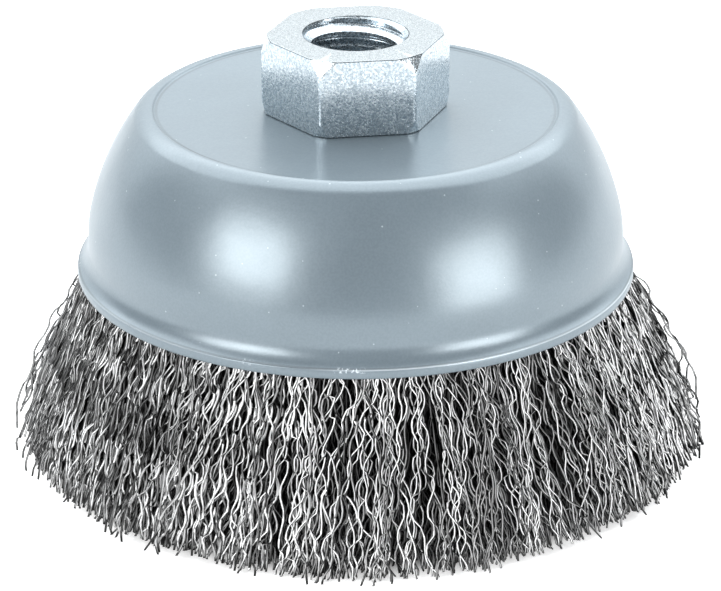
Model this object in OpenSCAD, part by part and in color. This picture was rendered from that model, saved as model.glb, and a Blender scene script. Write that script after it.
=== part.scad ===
// Crimped wire cup brush with a hexagonal arbor nut, in millimetres.
// The wire face lies on Z = 0 with its centre at the origin, and the nut points up +Z.

/* [Cup] */
// Outer diameter of the cup at its flared rim
rim_diameter = 75; // [66:1:110]
// Height of the crown above the rim
cup_height = 22.9; // [21.5:0.1:32]
// Thickness of the pressed sheet
sheet = 1; // [0.8:0.1:1.8]
// Width of the rounded shoulder, from the rim in to the top of the crown ring
shoulder_width = 10.3; // [9.5:0.1:11.5]
// Radius of the rounded ring between the crown and the shoulder
corner_radius = 3; // [2.2:0.1:4]
// How far the crown panel is coined below the top of that ring
panel_drop = 0.3; // [0.1:0.05:0.6]
// Radius of the bend that turns the wall out into the rim
lip_radius = 3.65; // [1.5:0.05:4.5]
// Straight part of the wall just above the rim's bend
wall_straight = 1; // [0.5:0.05:3]

/* [Arbor nut] */
// Width of the hexagon across its flats
nut_flats = 22; // [21:0.5:27]
// Height of the hexagon above the crown
nut_height = 10.5; // [7:0.5:16]
// Angle that the hexagon is turned on the cup
nut_turn = 8.3; // [0:0.1:60]
// Steepness of the chamfer on the upper corners of the hexagon
nut_chamfer_angle = 66; // [30:1:72]
// Height of the longer chamfer on its lower corners
nut_foot_chamfer = 2.2; // [1:0.1:3]
// Nominal diameter of the spindle thread
thread_diameter = 14; // [10:1:14]
// Pitch of the spindle thread
thread_pitch = 2; // [1.25:0.25:2]
// Diameter of the spigot that passes through the cup
spigot_diameter = 18; // [17:0.5:20]
// How far the swaged end of the spigot spreads over the inner cup
swage_spread = 1.6; // [0.8:0.1:2.4]
// Thickness of the swaged end
swage_thickness = 1.3; // [0.8:0.1:2]

/* [Inner cup] */
// How far the mouth of the inner cup stays above the rim of the outer one
inner_recess = 3; // [2:0.1:6]
// Width of its flat plate outside the swaged end of the spigot
plate_margin = 2.78; // [1.5:0.01:4.5]
// Radius of its pressed corner
inner_corner_radius = 4; // [2.5:0.5:5]

/* [Anchor ring] */
// Thickness of the ring that the wires are folded over
ring_thickness = 4; // [2:0.5:5]
// Depth of the ring under the crown
ring_depth = 8.4; // [7.5:0.1:10]

/* [Wires] */
// Length of wire that stands out of the cup
trim_length = 24; // [16:1:40]
// Width of the band of wires at the mouth of the cup
band_width = 12.5; // [10.5:0.5:15]
// How far the outer wires spread between the mouth and the trim
outer_spread = 10.3; // [4:0.1:14]
// How far the inner wires spread between the mouth and the trim
inner_spread = 2.8; // [0:0.1:5]
// Outward bulge of the outer wires at the middle of their length
outer_bulge = 1.5; // [0:0.1:2]
// Extra spread of the stray wire in each hank
stray_spread = 3; // [0:0.1:4]
// Width of one drawn wire, which stands for a few real ones that cling together
wire_width = 1; // [0.5:0.1:1.1]
// Height of the crimp from one crest to the other
crimp_height = 1.1; // [0.4:0.1:1.3]
// Number of crimp bends along a wire
crimp_bends = 7; // [4:1:9]
// Lean of the outer wires to one side, and of the layer behind them to the other
wire_lean = 2; // [0:0.5:3]
// Seed of the small differences from wire to wire
wire_seed = 7; // [1:1:99]

/* [Hidden] */
// Hanks of wires round the brush, and the drawn wires in each
hank_count = 16;
outer_per_hank = 5;
inner_per_hank = 2;
hank_angle = 360 / hank_count;
function hank_name(k) = str("wire_hank_", k < 10 ? "0" : "", k);

$fn = 96;

// Clearances
spigot_gap = 0.1;
pack_gap = 0.15;
ring_gap = 0.1;
layer_gap = 0.2;

// Levels above the wire face
rim_z = trim_length;
crown_z = rim_z + cup_height;
crown_under_z = crown_z - sheet;
nut_top_z = crown_z + nut_height;
plate_under_z = crown_under_z - sheet;
spigot_end_z = plate_under_z - swage_thickness;

// Cup, from the top of the crown ring down to the rim
rim_r = rim_diameter / 2;
ring_top = [rim_r - shoulder_width, crown_z + panel_drop];
lip_turn = 54;
crease_turn = 60;
crease_r = panel_drop / (2 * (1 - cos(crease_turn)));
panel_r = ring_top.x - 2 * crease_r * sin(crease_turn);
wall_r = rim_r - lip_radius * (1 - cos(lip_turn));
lip_skin = lip_radius + sheet;
lip_skin_r = wall_r + lip_radius - lip_skin * cos(lip_turn);
lip_centre = lip_skin * sin(lip_turn) + (rim_r - lip_skin_r) / tan(lip_turn);
edge_break = 0.25;

// Angles of the sheet where the corner ends and where the shoulder's two arcs meet
corner_lead = 10.1;
shoulder_lag = 13.2;
wall_top_z = rim_z + lip_centre + wall_straight;
shoulder_slope = atan2(ring_top.y - wall_top_z, wall_r - ring_top.x);
corner_turn = shoulder_slope - corner_lead;
shoulder_end = shoulder_slope + shoulder_lag;

// Radii of the two arcs of the shoulder, which end upright on the wall
shoulder_dr = wall_r - ring_top.x - corner_radius * sin(corner_turn);
shoulder_dz = ring_top.y - corner_radius * (1 - cos(corner_turn)) - wall_top_z;
upper_dr = sin(shoulder_end) - sin(corner_turn);
upper_dz = cos(corner_turn) - cos(shoulder_end);
lower_dr = 1 - sin(shoulder_end);
lower_dz = cos(shoulder_end);
shoulder_det = upper_dr * lower_dz - lower_dr * upper_dz;
upper_r = (shoulder_dr * lower_dz - lower_dr * shoulder_dz) / shoulder_det;
lower_r = (upper_dr * shoulder_dz - upper_dz * shoulder_dr) / shoulder_det;
cup_path = [
    ["arc", corner_radius, corner_turn],
    ["arc", upper_r, shoulder_end - corner_turn],
    ["arc", lower_r, 90 - shoulder_end],
    ["line", wall_straight],
    ["arc", lip_radius, -lip_turn]
];
crease_path = [
    ["arc", crease_r, -crease_turn],
    ["arc", crease_r, crease_turn]
];
panel_break = sqrt(pow(corner_radius - sheet, 2)
    - pow(crown_under_z - ring_top.y + corner_radius, 2));

// Arbor nut
nut_corner_r = nut_flats / sqrt(3);
nut_face_r = nut_flats / 2;
nut_rise = nut_corner_r - nut_face_r;
nut_top_r = nut_face_r + 0.41 * nut_rise;
nut_foot_r = nut_face_r + 0.69 * nut_rise;
nut_chamfer = (nut_corner_r - nut_top_r) * tan(nut_chamfer_angle);
thread_r = thread_diameter / 2;
thread_depth = 0.54127 * thread_pitch;
bore_r = thread_r - thread_depth;
spigot_r = spigot_diameter / 2;
swage_r = spigot_r + swage_spread;
swage_round = swage_thickness / 2;

// Inner cup, whose wall runs straight from the plate's corner to the lip at its mouth
inner_lip_turn = 25;
inner_lip_radius = 2;
mouth_r = wall_r - sheet;
inner_mouth_r = mouth_r - band_width;
plate_r = swage_r + plate_margin;
inner_dr = inner_mouth_r - plate_r;
inner_cup_depth = cup_height - sheet - inner_recess;
inner_run = norm([inner_dr, inner_cup_depth - inner_corner_radius]);
inner_offset = inner_corner_radius + inner_lip_radius * (1 - cos(inner_lip_turn));
inner_wall_angle = atan2(inner_cup_depth - inner_corner_radius, inner_dr) + asin(inner_offset / inner_run);
inner_slope_dz = inner_cup_depth - inner_corner_radius * (1 - cos(inner_wall_angle))
    - inner_lip_radius * (cos(inner_wall_angle - inner_lip_turn) - cos(inner_wall_angle));
inner_slope = inner_slope_dz / sin(inner_wall_angle);
inner_path = [
    ["arc", inner_corner_radius, inner_wall_angle],
    ["line", inner_slope],
    ["arc", inner_lip_radius, -inner_lip_turn]
];
plate_edge = [plate_r, crown_under_z];

// Anchor ring, inside the packed wires
ring_r = ring_thickness / 2;
ring_mean_r = (inner_mouth_r + mouth_r) / 2 - 3.2;
ring_z = crown_z - ring_depth;

// Lay of the wires, from just inside the mouth to the trim
wire_top_z = rim_z + sheet;
tip_z = 0.6;
tip_ragged = 1;
crimp_plane = 30;
crimp_reach = (crimp_height + wire_width) / 2 * sin(crimp_plane) + wire_width / 2 * cos(crimp_plane);
layer_step = 2 * crimp_reach + layer_gap;
outer_top_r = mouth_r + lip_radius - sqrt(pow(lip_skin, 2) - pow(lip_centre - sheet, 2))
    + sheet - crimp_reach - 2 * layer_gap;
inner_top_r = inner_mouth_r + crimp_reach + layer_gap;
outer_slant = atan(outer_spread / (wire_top_z - tip_z));
inner_slant = atan(inner_spread / (wire_top_z - tip_z));

// Packed wires behind the drawn ones
fill_top_z = crown_under_z - pack_gap;
fill_step_z = wire_top_z + 2 * layer_gap;
skirt_back = layer_step + crimp_reach + 2 * layer_gap;

// Unit vector to the underside of a sheet that runs down at this angle
function under(heading) = [-sin(heading), -cos(heading)];

// Direction in which a sheet runs at this angle
function along(heading) = [cos(heading), -sin(heading)];

// Points along one skin of a pressed sheet, at a depth below its upper skin
function skin(path, at, heading, depth, i = 0) =
    i == len(path)
    ? [at + depth * under(heading)]
    : path[i][0] == "line"
    ? concat(
        [at + depth * under(heading)],
        skin(path, at + path[i][1] * along(heading), heading, depth, i + 1)
    )
    : let (radius = path[i][1], turn = path[i][2])
      let (pull = sign(turn) * radius, parts = ceil(abs(turn) / 8) + 1)
      concat(
        [for (k = [0 : parts - 1])
            let (h = heading + turn * k / parts)
            at + pull * (under(heading) - under(h)) + depth * under(h)],
        skin(path, at + pull * (under(heading) - under(heading + turn)), heading + turn, depth, i + 1)
    );

// The same points from last to first
function reversed(list) = [for (i = [len(list) - 1 : -1 : 0]) list[i]];

// Point on the outer lay of the wires, from the mouth at 0 to the trim at 1
function outer_lay(s, back) =
    let (run = (wire_top_z - tip_z) / cos(outer_slant), out = 4 * outer_bulge * s * (1 - s) - back)
    [
        outer_top_r + run * s * sin(outer_slant) + out * cos(outer_slant),
        wire_top_z - run * s * cos(outer_slant) + out * sin(outer_slant)
    ];

// Bent centre line of one crimped wire, along X, which bows to +Y
function crimp_line(length, bow, phase) = [
    for (i = [0 : crimp_bends])
        let (s = i / crimp_bends, crest = i % 2 == 0 ? phase : -phase)
        [length * s, 4 * bow * s * (1 - s) + crest * crimp_height / 2 * min(1, (i + 1) / 3)]
];

// A crimped wire cut from its bent outline
module crimped_wire(length, bow, phase) {
    line = crimp_line(length, bow, phase);
    half = [0, wire_width / 2];
    linear_extrude(height = wire_width, center = true)
        polygon(concat([for (p = line) p + half], [for (p = reversed(line)) p - half]));
}

// A wire laid from the mouth of the cup to the trim, with its top at this radius
module laid_wire(angle, top_r, slant, back, lean, plane, bulge, phase, tip) {
    length = (wire_top_z - tip - back * sin(slant)) / cos(slant);
    bow = bulge / sin(plane);
    rotate([0, 0, angle])
        translate([top_r, 0, wire_top_z])
        rotate([0, 90 - slant, 0])
        translate([0, 0, -back])
        rotate([0, 0, lean])
        rotate([plane, 0, 0])
        crimped_wire(length, bow, phase);
}

// Hexagonal nut with a spigot that is swaged over under the inner cup
module arbor_nut() {
    color("#c4cace")
    difference() {
        union() {
            intersection() {
                translate([0, 0, crown_z])
                    rotate([0, 0, nut_turn])
                    cylinder(h = nut_height, r = nut_corner_r, $fn = 6);
                rotate_extrude()
                    polygon([
                        [0, crown_z],
                        [nut_foot_r, crown_z],
                        [nut_corner_r, crown_z + nut_foot_chamfer],
                        [nut_corner_r, nut_top_z - nut_chamfer],
                        [nut_top_r, nut_top_z],
                        [0, nut_top_z]
                    ]);
            }
            rotate_extrude()
                polygon([
                    [0, crown_z + nut_foot_chamfer],
                    [0, spigot_end_z],
                    [swage_r - swage_round, spigot_end_z],
                    [swage_r, spigot_end_z + swage_round],
                    [swage_r, plate_under_z],
                    [spigot_r, plate_under_z],
                    [spigot_r, crown_z + nut_foot_chamfer]
                ]);
        }
        threaded_bore();
    }
}

// Bore at the thread's minor diameter, with a countersink at each end
module threaded_bore() {
    beyond = 1;
    rotate_extrude()
        polygon([
            [0, spigot_end_z - beyond],
            [thread_r + beyond, spigot_end_z - beyond],
            [bore_r, spigot_end_z + thread_depth],
            [bore_r, nut_top_z - thread_depth],
            [thread_r + beyond, nut_top_z + beyond],
            [0, nut_top_z + beyond]
        ]);
}

// Pressed steel cup: coined crown, rounded shoulder and a rim turned outwards
module cup() {
    hole_r = spigot_r + spigot_gap;
    panel_end = [panel_r, crown_z];
    outer = concat(
        [[hole_r, crown_z]],
        skin(crease_path, panel_end, 0, 0),
        skin(cup_path, ring_top, 0, 0)
    );
    inner = concat(
        [[hole_r, crown_under_z], [ring_top.x + panel_break, crown_under_z]],
        [for (p = skin(cup_path, ring_top, 0, sheet)) if (p.y < crown_under_z - edge_break) p]
    );
    rim = [
        [rim_r, rim_z + edge_break],
        [rim_r - edge_break, rim_z + edge_break / tan(lip_turn)]
    ];
    color("#9fb1bd")
    rotate_extrude()
        polygon(concat(outer, rim, reversed(inner)));
}

// Inner cup that holds the wires against the wall of the outer one
module inner_cup() {
    hole_r = spigot_r + spigot_gap;
    color("#9aa0a4")
    rotate_extrude()
        polygon(concat(
            [[hole_r, crown_under_z]],
            skin(inner_path, plate_edge, 0, 0),
            reversed(skin(inner_path, plate_edge, 0, sheet)),
            [[hole_r, plate_under_z]]
        ));
}

// Steel ring that every wire is folded over
module anchor_ring() {
    color("#6f7478")
    rotate_extrude()
        translate([ring_mean_r, ring_z])
        circle(r = ring_r);
}

// Wires packed between the two cups, and the inside of the skirt down to the trim
module wire_fill() {
    packed = [
        for (p = skin(cup_path, ring_top, 0, sheet + pack_gap))
            if (p.y < fill_top_z && p.y > fill_step_z) p
    ];
    lay_steps = 18;
    skirt = [
        for (i = [0 : lay_steps])
            let (p = outer_lay(i / lay_steps, skirt_back))
            if (p.y < fill_step_z && p.y > 0) p
    ];
    inner_face_r = inner_top_r + crimp_reach + layer_gap;
    inside = [
        for (p = skin(inner_path, plate_edge, 0, -pack_gap))
            if (p.y < fill_top_z) p
    ];
    color("#54575a")
    rotate_extrude()
        difference() {
            polygon(concat(
                packed,
                [[packed[len(packed) - 1].x, fill_step_z], [skirt[0].x, fill_step_z]],
                skirt,
                [[skirt[len(skirt) - 1].x, 0], [inner_face_r + inner_spread, 0], [inner_face_r, fill_step_z]],
                reversed(inside)
            ));
            translate([ring_mean_r, ring_z])
                circle(r = ring_r + ring_gap);
        }
}

// One hank: its outer wires in two leaning layers, a stray, and its inner wires
module wire_hank(k) {
    wires = 2 * outer_per_hank + inner_per_hank;
    tips = rands(0, tip_ragged, wires, wire_seed + k);
    leans = rands(-0.5, 0.5, wires, wire_seed + hank_count + k);
    pitch = hank_angle / outer_per_hank;
    inner_pitch = hank_angle / inner_per_hank;
    start = k * hank_angle;
    color("#8b8e90") {
        for (i = [0 : outer_per_hank - 1]) {
            stray = i == 0 ? stray_spread : 0;
            slant = atan((outer_spread + stray) / (wire_top_z - tip_z));
            laid_wire(start + i * pitch, outer_top_r, slant, 0, wire_lean + leans[i],
                crimp_plane, outer_bulge, i % 2 == 0 ? 1 : -1, tip_z + tips[i]);
            j = i + outer_per_hank;
            laid_wire(start + (i + 0.5) * pitch, outer_top_r, outer_slant, layer_step,
                -wire_lean - leans[j], -crimp_plane, outer_bulge, i % 2 == 0 ? -1 : 1, tip_z + tips[j]);
        }
        for (i = [0 : inner_per_hank - 1]) {
            j = i + 2 * outer_per_hank;
            laid_wire(start + i * inner_pitch, inner_top_r, inner_slant, 0, leans[j],
                crimp_plane, 0, i % 2 == 0 ? 1 : -1, tip_z + tips[j]);
        }
    }
}

arbor_nut();
cup();
inner_cup();
anchor_ring();
wire_fill();
for (k = [1 : hank_count])
    wire_hank(k);
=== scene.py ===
"""Wire cup brush for an angle grinder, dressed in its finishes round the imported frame.

The skirt is several thousand crimped steel wires, the nut has its real thread, and the cup is a pressed
sheet with enamel on it. Sizes are in millimetres until a mesh is finished, and then in metres.
"""

import enum
import logging
import math
from collections.abc import Callable, Sequence
from dataclasses import dataclass, field

import bmesh
import bpy
import numpy as np
from mathutils import Matrix, Vector


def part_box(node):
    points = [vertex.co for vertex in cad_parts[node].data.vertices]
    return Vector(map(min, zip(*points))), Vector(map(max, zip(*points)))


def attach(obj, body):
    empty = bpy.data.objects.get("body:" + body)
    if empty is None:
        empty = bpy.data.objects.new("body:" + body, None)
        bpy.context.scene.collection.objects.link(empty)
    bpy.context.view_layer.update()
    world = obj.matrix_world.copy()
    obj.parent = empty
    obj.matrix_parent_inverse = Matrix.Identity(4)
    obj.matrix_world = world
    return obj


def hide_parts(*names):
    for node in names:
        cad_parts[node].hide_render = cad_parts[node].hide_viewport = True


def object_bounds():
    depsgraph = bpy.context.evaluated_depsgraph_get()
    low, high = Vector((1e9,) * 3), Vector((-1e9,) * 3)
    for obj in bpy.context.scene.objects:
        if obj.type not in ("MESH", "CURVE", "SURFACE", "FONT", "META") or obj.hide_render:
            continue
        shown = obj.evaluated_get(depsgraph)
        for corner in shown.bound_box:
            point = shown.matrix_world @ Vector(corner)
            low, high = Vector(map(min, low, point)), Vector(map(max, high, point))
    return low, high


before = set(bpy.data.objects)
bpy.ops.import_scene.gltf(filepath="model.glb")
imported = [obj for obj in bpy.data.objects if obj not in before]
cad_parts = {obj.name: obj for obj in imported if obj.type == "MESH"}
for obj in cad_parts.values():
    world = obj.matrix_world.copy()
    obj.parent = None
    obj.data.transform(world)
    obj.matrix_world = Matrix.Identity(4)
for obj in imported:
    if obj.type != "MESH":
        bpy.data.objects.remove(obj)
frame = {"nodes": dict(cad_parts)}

CAD_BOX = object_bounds()
MM = 0.001
BODY = "root"
HANK_COUNT = 16
FULL_TURN = 2 * math.pi

log = logging.getLogger("cup_brush")

Point = tuple[float, float]
Colour = tuple[float, float, float]


def srgb(red: int, green: int, blue: int) -> tuple[float, float, float, float]:
    """Turns a colour of 0 to 255 into the linear colour that a shader takes.

    Args:
        red: Red part.
        green: Green part.
        blue: Blue part.

    Returns:
        Linear red, green, blue and an alpha of one.
    """
    def linear(part: int) -> float:
        """Gives one part of the colour without its gamma."""
        share = part / 255
        return share / 12.92 if share <= 0.04045 else ((share + 0.055) / 1.055) ** 2.4

    return (linear(red), linear(green), linear(blue), 1.0)


class Slot(enum.Enum):
    """Material slots of the record."""

    CUP_PAINT = "cup_paint"
    ZINC = "zinc_steel"
    PLAIN = "plain_steel"
    WIRE = "wire"
    PACKED = "packed_wire"


class Bend(enum.Enum):
    """Ways in which a pressed sheet goes on."""

    STRAIGHT = "straight"
    ROUND = "round"


# Sizes of the brush


@dataclass(frozen=True)
class BrushFrame:
    """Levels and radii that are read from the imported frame, in millimetres.

    Attributes:
        rim_z: Level of the cup's rim.
        ring_top_z: Level of the raised ring round the crown.
        rim_r: Radius of the rim.
        nut_top_z: Level of the nut's outer face.
        spigot_end_z: Level of the swaged end of the nut.
        reach: Radius that no wire may pass.
    """

    rim_z: float
    ring_top_z: float
    rim_r: float
    nut_top_z: float
    spigot_end_z: float
    reach: float

    @classmethod
    def read(cls) -> "BrushFrame":
        """Reads the levels and radii from the boxes of the CAD nodes.

        Returns:
            The sizes in millimetres.
        """
        cup_low, cup_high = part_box("cup")
        nut_low, nut_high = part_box("arbor_nut")
        low, high = CAD_BOX
        reach = min(-low.x, -low.y, high.x, high.y)
        return cls(
            rim_z=cup_low.z / MM,
            ring_top_z=cup_high.z / MM,
            rim_r=cup_high.x / MM,
            nut_top_z=nut_high.z / MM,
            spigot_end_z=nut_low.z / MM,
            reach=reach / MM - 0.1,
        )


@dataclass(frozen=True)
class PressedSheet:
    """A sheet of even thickness that is pressed along straight runs and bends.

    Attributes:
        start: Radius and height where the upper skin starts.
        runs: Kind of run, length or bend radius, and turn in degrees, where down is positive.
        thickness: Thickness of the sheet.
        step: Largest turn between two points of a bend, in degrees.
    """

    start: Point
    runs: Sequence[tuple[Bend, float, float]]
    thickness: float
    step: float = 3.0

    @staticmethod
    def under(heading: float) -> Vector:
        """Gives the unit vector to the underside of a sheet at this heading in degrees."""
        angle = math.radians(heading)
        return Vector((-math.sin(angle), -math.cos(angle)))

    def skin(self, depth: float) -> list[Point]:
        """Follows one skin of the sheet.

        Args:
            depth: Depth of the skin below the upper one.

        Returns:
            Radius and height of each point.
        """
        at = Vector(self.start)
        heading = 0.0
        points: list[Point] = []
        for kind, size, turn in self.runs:
            if kind is Bend.STRAIGHT:
                points.append(tuple(at + depth * self.under(heading)))
                angle = math.radians(heading)
                at = at + size * Vector((math.cos(angle), -math.sin(angle)))
                continue
            pull = math.copysign(size, turn)
            parts = max(3, math.ceil(abs(turn) / self.step))
            for part in range(parts):
                now = heading + turn * part / parts
                moved = at + pull * (self.under(heading) - self.under(now))
                points.append(tuple(moved + depth * self.under(now)))
            at = at + pull * (self.under(heading) - self.under(heading + turn))
            heading += turn
        points.append(tuple(at + depth * self.under(heading)))
        return points


@dataclass(frozen=True)
class CupShape:
    """Pressed outer cup: coined crown, rounded shoulder, upright wall and a rim turned outwards.

    Attributes:
        frame: Levels and radii of the brush.
        thickness: Thickness of the sheet.
        panel_drop: How far the crown panel lies below the ring round it.
        shoulder_width: Width from the rim in to the top of the ring.
        corner_radius: Radius of the ring.
        corner_lead: How much less the ring turns than the shoulder's mean slope, in degrees.
        shoulder_lag: How much more than that slope the shoulder's upper arc turns.
        wall_straight: Straight part of the wall.
        lip_radius: Radius of the rim's bend.
        lip_turn: Turn of the rim's bend in degrees.
        hole_r: Radius of the hole for the nut's spigot.
        edge_round: Radius of the cut edge's corners.
    """

    frame: BrushFrame
    thickness: float = 1.0
    panel_drop: float = 0.3
    shoulder_width: float = 10.3
    corner_radius: float = 3.0
    corner_lead: float = 10.1
    shoulder_lag: float = 13.2
    wall_straight: float = 1.0
    lip_radius: float = 3.65
    lip_turn: float = 54.0
    hole_r: float = 9.1
    edge_round: float = 0.3

    @property
    def crown_z(self) -> float:
        """Level of the crown panel."""
        return self.frame.ring_top_z - self.panel_drop

    @property
    def wall_r(self) -> float:
        """Radius of the upright wall."""
        return self.frame.rim_r - self.lip_radius * (1 - math.cos(math.radians(self.lip_turn)))

    @property
    def lip_centre(self) -> float:
        """Height of the centre of the rim's bend above the rim."""
        turn = math.radians(self.lip_turn)
        outer = self.lip_radius + self.thickness
        skin_r = self.wall_r + self.lip_radius - outer * math.cos(turn)
        return outer * math.sin(turn) + (self.frame.rim_r - skin_r) / math.tan(turn)

    @property
    def ring_r(self) -> float:
        """Radius of the top of the ring."""
        return self.frame.rim_r - self.shoulder_width

    @property
    def wall_top_z(self) -> float:
        """Level where the wall goes over into the shoulder."""
        return self.frame.rim_z + self.lip_centre + self.wall_straight

    @property
    def headings(self) -> Point:
        """Slopes in degrees where the ring ends and where the shoulder's two arcs meet."""
        fall, out = self.frame.ring_top_z - self.wall_top_z, self.wall_r - self.ring_r
        mean = math.degrees(math.atan2(fall, out))
        return mean - self.corner_lead, mean + self.shoulder_lag

    def shoulder_arcs(self) -> Point:
        """Solves the two arcs of the shoulder so that they end upright on the wall.

        Returns:
            Radii of the upper and the lower arc.
        """
        corner, end = (math.radians(heading) for heading in self.headings)
        out = self.wall_r - self.ring_r - self.corner_radius * math.sin(corner)
        top = self.frame.ring_top_z - self.corner_radius * (1 - math.cos(corner))
        down = top - self.wall_top_z
        upper = (math.sin(end) - math.sin(corner), math.cos(corner) - math.cos(end))
        lower = (1 - math.sin(end), math.cos(end))
        det = upper[0] * lower[1] - lower[0] * upper[1]
        return (
            (out * lower[1] - lower[0] * down) / det,
            (upper[0] * down - upper[1] * out) / det,
        )

    def sheet(self) -> PressedSheet:
        """Gives the sheet from the top of the ring to the rim."""
        upper, lower = self.shoulder_arcs()
        corner, end = self.headings
        return PressedSheet(
            start=(self.ring_r, self.frame.ring_top_z),
            runs=(
                (Bend.ROUND, self.corner_radius, corner),
                (Bend.ROUND, upper, end - corner),
                (Bend.ROUND, lower, 90 - end),
                (Bend.STRAIGHT, self.wall_straight, 0),
                (Bend.ROUND, self.lip_radius, -self.lip_turn),
            ),
            thickness=self.thickness,
            step=2.2,
        )

    def crease(self) -> list[Point]:
        """Follows the small step from the crown panel up to the ring.

        Returns:
            Radius and height of each point, from the panel outwards.
        """
        turn = 60.0
        radius = self.panel_drop / (2 * (1 - math.cos(math.radians(turn))))
        run = 2 * radius * math.sin(math.radians(turn))
        step = PressedSheet(
            start=(self.ring_r - run, self.crown_z),
            runs=((Bend.ROUND, radius, -turn), (Bend.ROUND, radius, turn)),
            thickness=self.thickness,
            step=12.0,
        )
        return step.skin(0)[:-1]

    def lip_inside(self, height: np.ndarray) -> np.ndarray:
        """Gives the radius of the cup's inner skin at a level near its mouth.

        Args:
            height: Levels above the wire face.

        Returns:
            Radii of the inner skin.
        """
        outer = self.lip_radius + self.thickness
        below = np.clip(self.lip_centre - (height - self.frame.rim_z), 0, outer * 0.93)
        return self.wall_r + self.lip_radius - np.sqrt(outer**2 - below**2)

    def outline(self) -> list[Point]:
        """Closes the section of the sheet.

        Returns:
            Radius and height of each point, once round the section.
        """
        rim_r, rim_z = self.frame.rim_r, self.frame.rim_z
        outer = [(self.hole_r, self.crown_z)] + self.crease() + self.sheet().skin(0)
        top_r, top_z = outer.pop()
        ease = self.edge_round
        rim = [
            (top_r - ease * 0.75, top_z + ease * 0.35),
            (top_r - ease * 0.2, top_z + ease * 0.05),
            (rim_r, top_z - ease * 0.45),
            (rim_r, rim_z + ease * 0.8),
            (rim_r - ease * 0.3, rim_z + ease * 0.25),
            (rim_r - ease, rim_z + ease * 0.2),
        ]
        under_z = self.crown_z - self.thickness
        inner = [p for p in self.sheet().skin(self.thickness) if p[1] < under_z - 0.2]
        inner_r = inner[0][0] - 0.6
        return outer + rim + inner[::-1] + [(inner_r, under_z), (self.hole_r, under_z)]


@dataclass(frozen=True)
class InnerCupShape:
    """Pressed inner cup that holds the wires against the outer one.

    Attributes:
        cup: The outer cup that it sits in.
        thickness: Thickness of the sheet.
        depth: Depth under the crown.
        band_width: Width of the band of wires at the mouth.
        wall_angle: Slope of the wall from the horizontal, in degrees.
        corner_radius: Radius of the pressed corner.
        lip_radius: Radius of the small outward lip.
        lip_turn: Turn of the lip in degrees.
    """

    cup: CupShape
    thickness: float = 1.0
    depth: float = 18.9
    band_width: float = 12.5
    wall_angle: float = 72.41
    corner_radius: float = 4.0
    lip_radius: float = 2.0
    lip_turn: float = 25.0

    def sheet(self) -> PressedSheet:
        """Gives the sheet from the plate's edge to the mouth."""
        wall = math.radians(self.wall_angle)
        lip = math.radians(self.wall_angle - self.lip_turn)
        down = self.depth - self.corner_radius * (1 - math.cos(wall))
        slope = (down - self.lip_radius * (math.cos(lip) - math.cos(wall))) / math.sin(wall)
        mouth_r = self.cup.wall_r - self.cup.thickness - self.band_width
        plate_r = mouth_r - self.corner_radius * math.sin(wall) - slope * math.cos(wall)
        plate_r -= self.lip_radius * (math.sin(wall) - math.sin(lip))
        return PressedSheet(
            start=(plate_r, self.cup.crown_z - self.cup.thickness),
            runs=(
                (Bend.ROUND, self.corner_radius, self.wall_angle),
                (Bend.STRAIGHT, slope, 0),
                (Bend.ROUND, self.lip_radius, -self.lip_turn),
            ),
            thickness=self.thickness,
            step=6.0,
        )

    def outline(self) -> list[Point]:
        """Closes the section of the sheet.

        Returns:
            Radius and height of each point, once round the section.
        """
        top_z = self.cup.crown_z - self.cup.thickness
        upper = [(self.cup.hole_r, top_z)] + self.sheet().skin(0)
        lower = self.sheet().skin(self.thickness)[::-1] + [(self.cup.hole_r, top_z - self.thickness)]
        return upper + lower


# Making meshes


def finish_mesh(bm: bmesh.types.BMesh, name: str, sharp_deg: float = 30.0) -> bpy.types.Object:
    """Turns a bmesh in millimetres into a smooth object in metres at the origin.

    Args:
        bm: The shape, which is freed.
        name: Name of the piece.
        sharp_deg: Edges that turn more than this stay sharp.

    Returns:
        The new object.
    """
    bmesh.ops.recalc_face_normals(bm, faces=bm.faces)
    bmesh.ops.scale(bm, vec=(MM, MM, MM), verts=bm.verts)
    mesh = bpy.data.meshes.new(name)
    bm.to_mesh(mesh)
    bm.free()
    mesh.shade_smooth()
    mesh.set_sharp_from_angle(angle=math.radians(sharp_deg))
    piece = bpy.data.objects.new(name, mesh)
    bpy.context.scene.collection.objects.link(piece)
    return piece


def spun_piece(name: str, outline: Sequence[Point], steps: int) -> bpy.types.Object:
    """Spins a closed section once round the Z axis.

    Args:
        name: Name of the piece.
        outline: Radius and height of each point of the section.
        steps: Number of steps in the turn.

    Returns:
        The new object.
    """
    bm = bmesh.new()
    verts = [bm.verts.new((radius, 0, height)) for radius, height in outline]
    edges = [bm.edges.new((a, b)) for a, b in zip(verts, verts[1:] + verts[:1])]
    bmesh.ops.spin(
        bm, geom=verts + edges, cent=(0, 0, 0), axis=(0, 0, 1),
        angle=FULL_TURN, steps=steps, use_merge=True,
    )
    bmesh.ops.remove_doubles(bm, verts=bm.verts, dist=1e-4)
    return finish_mesh(bm, name)


def show(piece: bpy.types.Object, slot: Slot, finish: bpy.types.Material, *nodes: str) -> None:
    """Dresses a new piece and puts it in the place of CAD nodes.

    Args:
        piece: The piece.
        slot: Material slot of the record; not used.
        finish: Material that it takes.
        *nodes: CAD nodes that it stands for.
    """
    piece.data.materials.append(finish)
    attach(piece, BODY)
    if nodes:
        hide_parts(*nodes)
    log.info("%s: %d faces, for %s", piece.name, len(piece.data.polygons), ", ".join(nodes) or "no node")


# Arbor nut


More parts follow.
